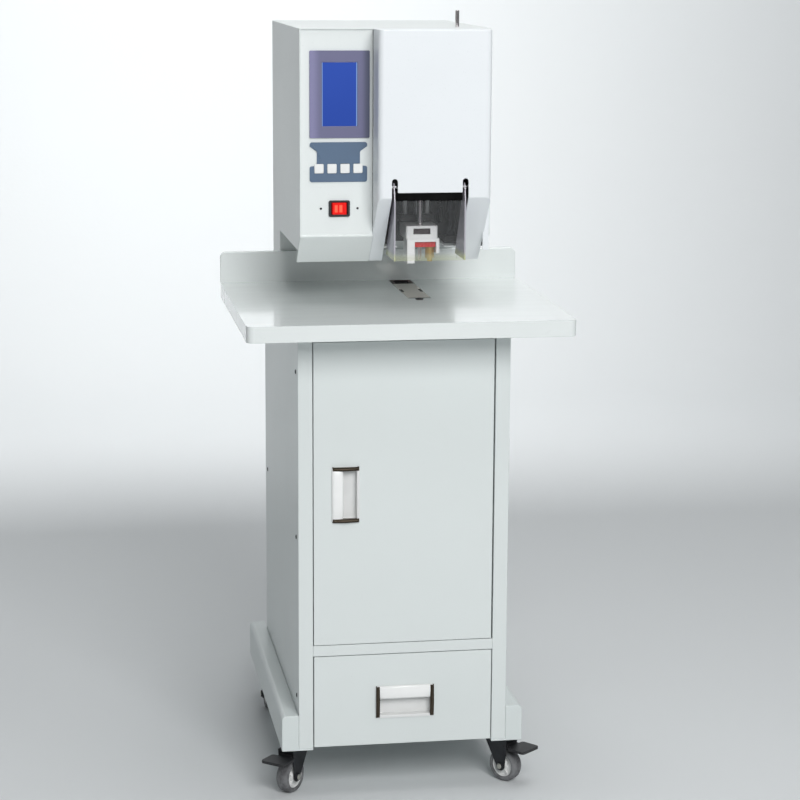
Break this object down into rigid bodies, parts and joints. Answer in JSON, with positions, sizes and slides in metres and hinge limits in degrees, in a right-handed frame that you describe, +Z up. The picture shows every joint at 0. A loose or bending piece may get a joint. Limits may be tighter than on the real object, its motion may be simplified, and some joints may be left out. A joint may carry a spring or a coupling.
{
  "type": "document riveting machine",
  "caption": "Floor-standing paper drill and riveting machine: wheeled cabinet with door and drawer, worktop with paper stop, overhanging head with drill, controls and clear guard.",
  "frame": {"origin": "on the floor, under the middle of the machine's bounding box", "axes": "+Z up, +X to the operator's right, +Y from the operator's side to the back"},
  "size_m": [0.56, 0.67, 1.371],
  "materials": {
    "paint_white": "satin powder coat",
    "paint_grey": "satin powder coat",
    "steel": "ground",
    "bright_steel": "polished",
    "alloy": "machined",
    "brass": "turned",
    "white_plastic": "smooth",
    "black_plastic": "fine grain",
    "bezel_plastic": "satin",
    "slate_film": "satin film",
    "screen": "backlit display",
    "clear_plastic": "clear sheet",
    "red_lamp": "translucent, lit",
    "red_block": "enamel",
    "grey_tread": "matte",
    "belt_rubber": "matte",
    "chassis_steel": "black zinc"
  },
  "bodies": {
    "machine": {"base_frame": "paint_white", "side_panel_left": "paint_white", "side_panel_right": "paint_white", "back_panel": "paint_white", "front_rails": "paint_white", "shelf": "paint_grey", "cover_screws": "chassis_steel", "drawer_rails": "steel", "worktop": "paint_grey", "insert_plate": "steel", "lower_die": "steel", "c_frame": "steel", "head_cover": "paint_white", "rear_cover": "paint_white", "fascia": "paint_white", "drill_cover": "paint_white", "lcd_bezel": "bezel_plastic", "lcd_glass": "screen", "key_panel": "slate_film", "switch_housing": "black_plastic", "guard_rod": "steel", "feed_tube": "bright_steel", "lift_motor": "chassis_steel", "guide_posts": "bright_steel", "power_inlet": "black_plastic", "power_supply": "chassis_steel"},
    "door": {"door_panel": "paint_white", "door_pull": "white_plastic", "hinge_pins": "steel"},
    "drawer": {"drawer_front": "paint_white", "drawer_pull": "white_plastic", "drawer_box": "paint_grey"},
    "guard": {"clear_guard": "clear_plastic"},
    "rocker": {"rocker_switch": "red_lamp"},
    "key_1_body": {"key_1": "white_plastic"},
    "key_2_body": {"key_2": "white_plastic"},
    "key_3_body": {"key_3": "white_plastic"},
    "key_4_body": {"key_4": "white_plastic"},
    "drill_carriage": {"carriage": "alloy", "drill_motor": "chassis_steel", "drive_belt": "belt_rubber"},
    "drill_spindle": {"spindle": "bright_steel", "hollow_drill": "bright_steel"},
    "motor_pulley_body": {"motor_pulley": "alloy"},
    "screw": {"lead_screw": "bright_steel"},
    "foot": {"press_foot": "alloy", "foot_bracket": "paint_white", "heater_block": "red_block", "rivet_punch": "brass"},
    "swivel_fl": {"castor_fl": "chassis_steel"},
    "roller_fl": {"wheel_fl": "grey_tread"},
    "swivel_fr": {"castor_fr": "chassis_steel"},
    "roller_fr": {"wheel_fr": "grey_tread"},
    "swivel_rl": {"castor_rl": "chassis_steel"},
    "roller_rl": {"wheel_rl": "grey_tread"},
    "swivel_rr": {"castor_rr": "chassis_steel"},
    "roller_rr": {"wheel_rr": "grey_tread"},
    "pedal_left": {"brake_pedal_left": "black_plastic"},
    "pedal_right": {"brake_pedal_right": "black_plastic"}
  },
  "joints": [
    {"name": "door_hinge", "type": "hinge", "parent": "machine", "child": "door", "pos_m": [0.152, -0.24, 0.55], "axis": [0, 0, 1], "range_deg": [0, 110]},
    {"name": "drawer_slide", "type": "slide", "parent": "machine", "child": "drawer", "axis": [0, -1, 0], "range_m": [0, 0.36]},
    {"name": "guard_hinge", "type": "hinge", "parent": "machine", "child": "guard", "pos_m": [0.0505, -0.183, 1.075], "axis": [-1, 0, 0], "range_deg": [0, 75]},
    {"name": "rocker_pivot", "type": "hinge", "parent": "machine", "child": "rocker", "pos_m": [-0.0985, -0.132, 1], "axis": [0, 0, 1], "range_deg": [-8, 8]},
    {"name": "key_1_press", "type": "slide", "parent": "machine", "child": "key_1_body", "axis": [0, 1, 0], "range_m": [0, 0.001], "stiffness_N_per_m": 800},
    {"name": "key_2_press", "type": "slide", "parent": "machine", "child": "key_2_body", "axis": [0, 1, 0], "range_m": [0, 0.001], "stiffness_N_per_m": 800},
    {"name": "key_3_press", "type": "slide", "parent": "machine", "child": "key_3_body", "axis": [0, 1, 0], "range_m": [0, 0.001], "stiffness_N_per_m": 800},
    {"name": "key_4_press", "type": "slide", "parent": "machine", "child": "key_4_body", "axis": [0, 1, 0], "range_m": [0, 0.001], "stiffness_N_per_m": 800},
    {"name": "drill_lift", "type": "slide", "parent": "machine", "child": "drill_carriage", "axis": [0, 0, -1], "range_m": [0, 0.072]},
    {"name": "foot_slide", "type": "slide", "parent": "machine", "child": "foot", "axis": [0, 0, -1], "range_m": [0, 0.062]},
    {"name": "screw_turn", "type": "hinge", "parent": "machine", "child": "screw", "pos_m": [0.054, -0.039, 1.1], "axis": [0, 0, 1], "range_deg": [0, 3241]},
    {"name": "spindle_spin", "type": "hinge", "parent": "drill_carriage", "child": "drill_spindle", "pos_m": [0.054, -0.073, 1.1], "axis": [0, 0, 1], "continuous": true},
    {"name": "motor_spin", "type": "hinge", "parent": "drill_carriage", "child": "motor_pulley_body", "pos_m": [-0.062, -0.063, 1.1875], "axis": [0, 0, 1], "continuous": true},
    {"name": "swivel_fl_turn", "type": "hinge", "parent": "machine", "child": "swivel_fl", "pos_m": [-0.183, -0.185, 0.08], "axis": [0, 0, 1], "continuous": true},
    {"name": "wheel_fl_roll", "type": "hinge", "parent": "swivel_fl", "child": "roller_fl", "pos_m": [-0.19586, -0.20032, 0.03], "axis": [0.766, -0.6428, 0], "continuous": true},
    {"name": "pedal_left_press", "type": "hinge", "parent": "swivel_fl", "child": "pedal_left", "pos_m": [-0.20228, -0.20798, 0.07], "axis": [0.766, -0.6428, 0], "range_deg": [0, 12]},
    {"name": "swivel_fr_turn", "type": "hinge", "parent": "machine", "child": "swivel_fr", "pos_m": [0.183, -0.185, 0.08], "axis": [0, 0, 1], "continuous": true},
    {"name": "wheel_fr_roll", "type": "hinge", "parent": "swivel_fr", "child": "roller_fr", "pos_m": [0.19586, -0.20032, 0.03], "axis": [0.766, 0.6428, 0], "continuous": true},
    {"name": "pedal_right_press", "type": "hinge", "parent": "swivel_fr", "child": "pedal_right", "pos_m": [0.20228, -0.20798, 0.07], "axis": [0.766, 0.6428, 0], "range_deg": [0, 12]},
    {"name": "swivel_rl_turn", "type": "hinge", "parent": "machine", "child": "swivel_rl", "pos_m": [-0.183, 0.275, 0.08], "axis": [0, 0, 1], "continuous": true},
    {"name": "wheel_rl_roll", "type": "hinge", "parent": "swivel_rl", "child": "roller_rl", "pos_m": [-0.183, 0.255, 0.03], "axis": [1, 0, 0], "continuous": true},
    {"name": "swivel_rr_turn", "type": "hinge", "parent": "machine", "child": "swivel_rr", "pos_m": [0.183, 0.275, 0.08], "axis": [0, 0, 1], "continuous": true},
    {"name": "wheel_rr_roll", "type": "hinge", "parent": "swivel_rr", "child": "roller_rr", "pos_m": [0.183, 0.255, 0.03], "axis": [1, 0, 0], "continuous": true}
  ],
  "couplings": [
    {"joint": "foot_slide", "follows": "drill_lift", "ratio": 0.8611},
    {"joint": "screw_turn", "follows": "drill_lift", "rad_per_m": 785.4},
    {"joint": "motor_spin", "follows": "spindle_spin", "ratio": 1.9231}
  ]
}
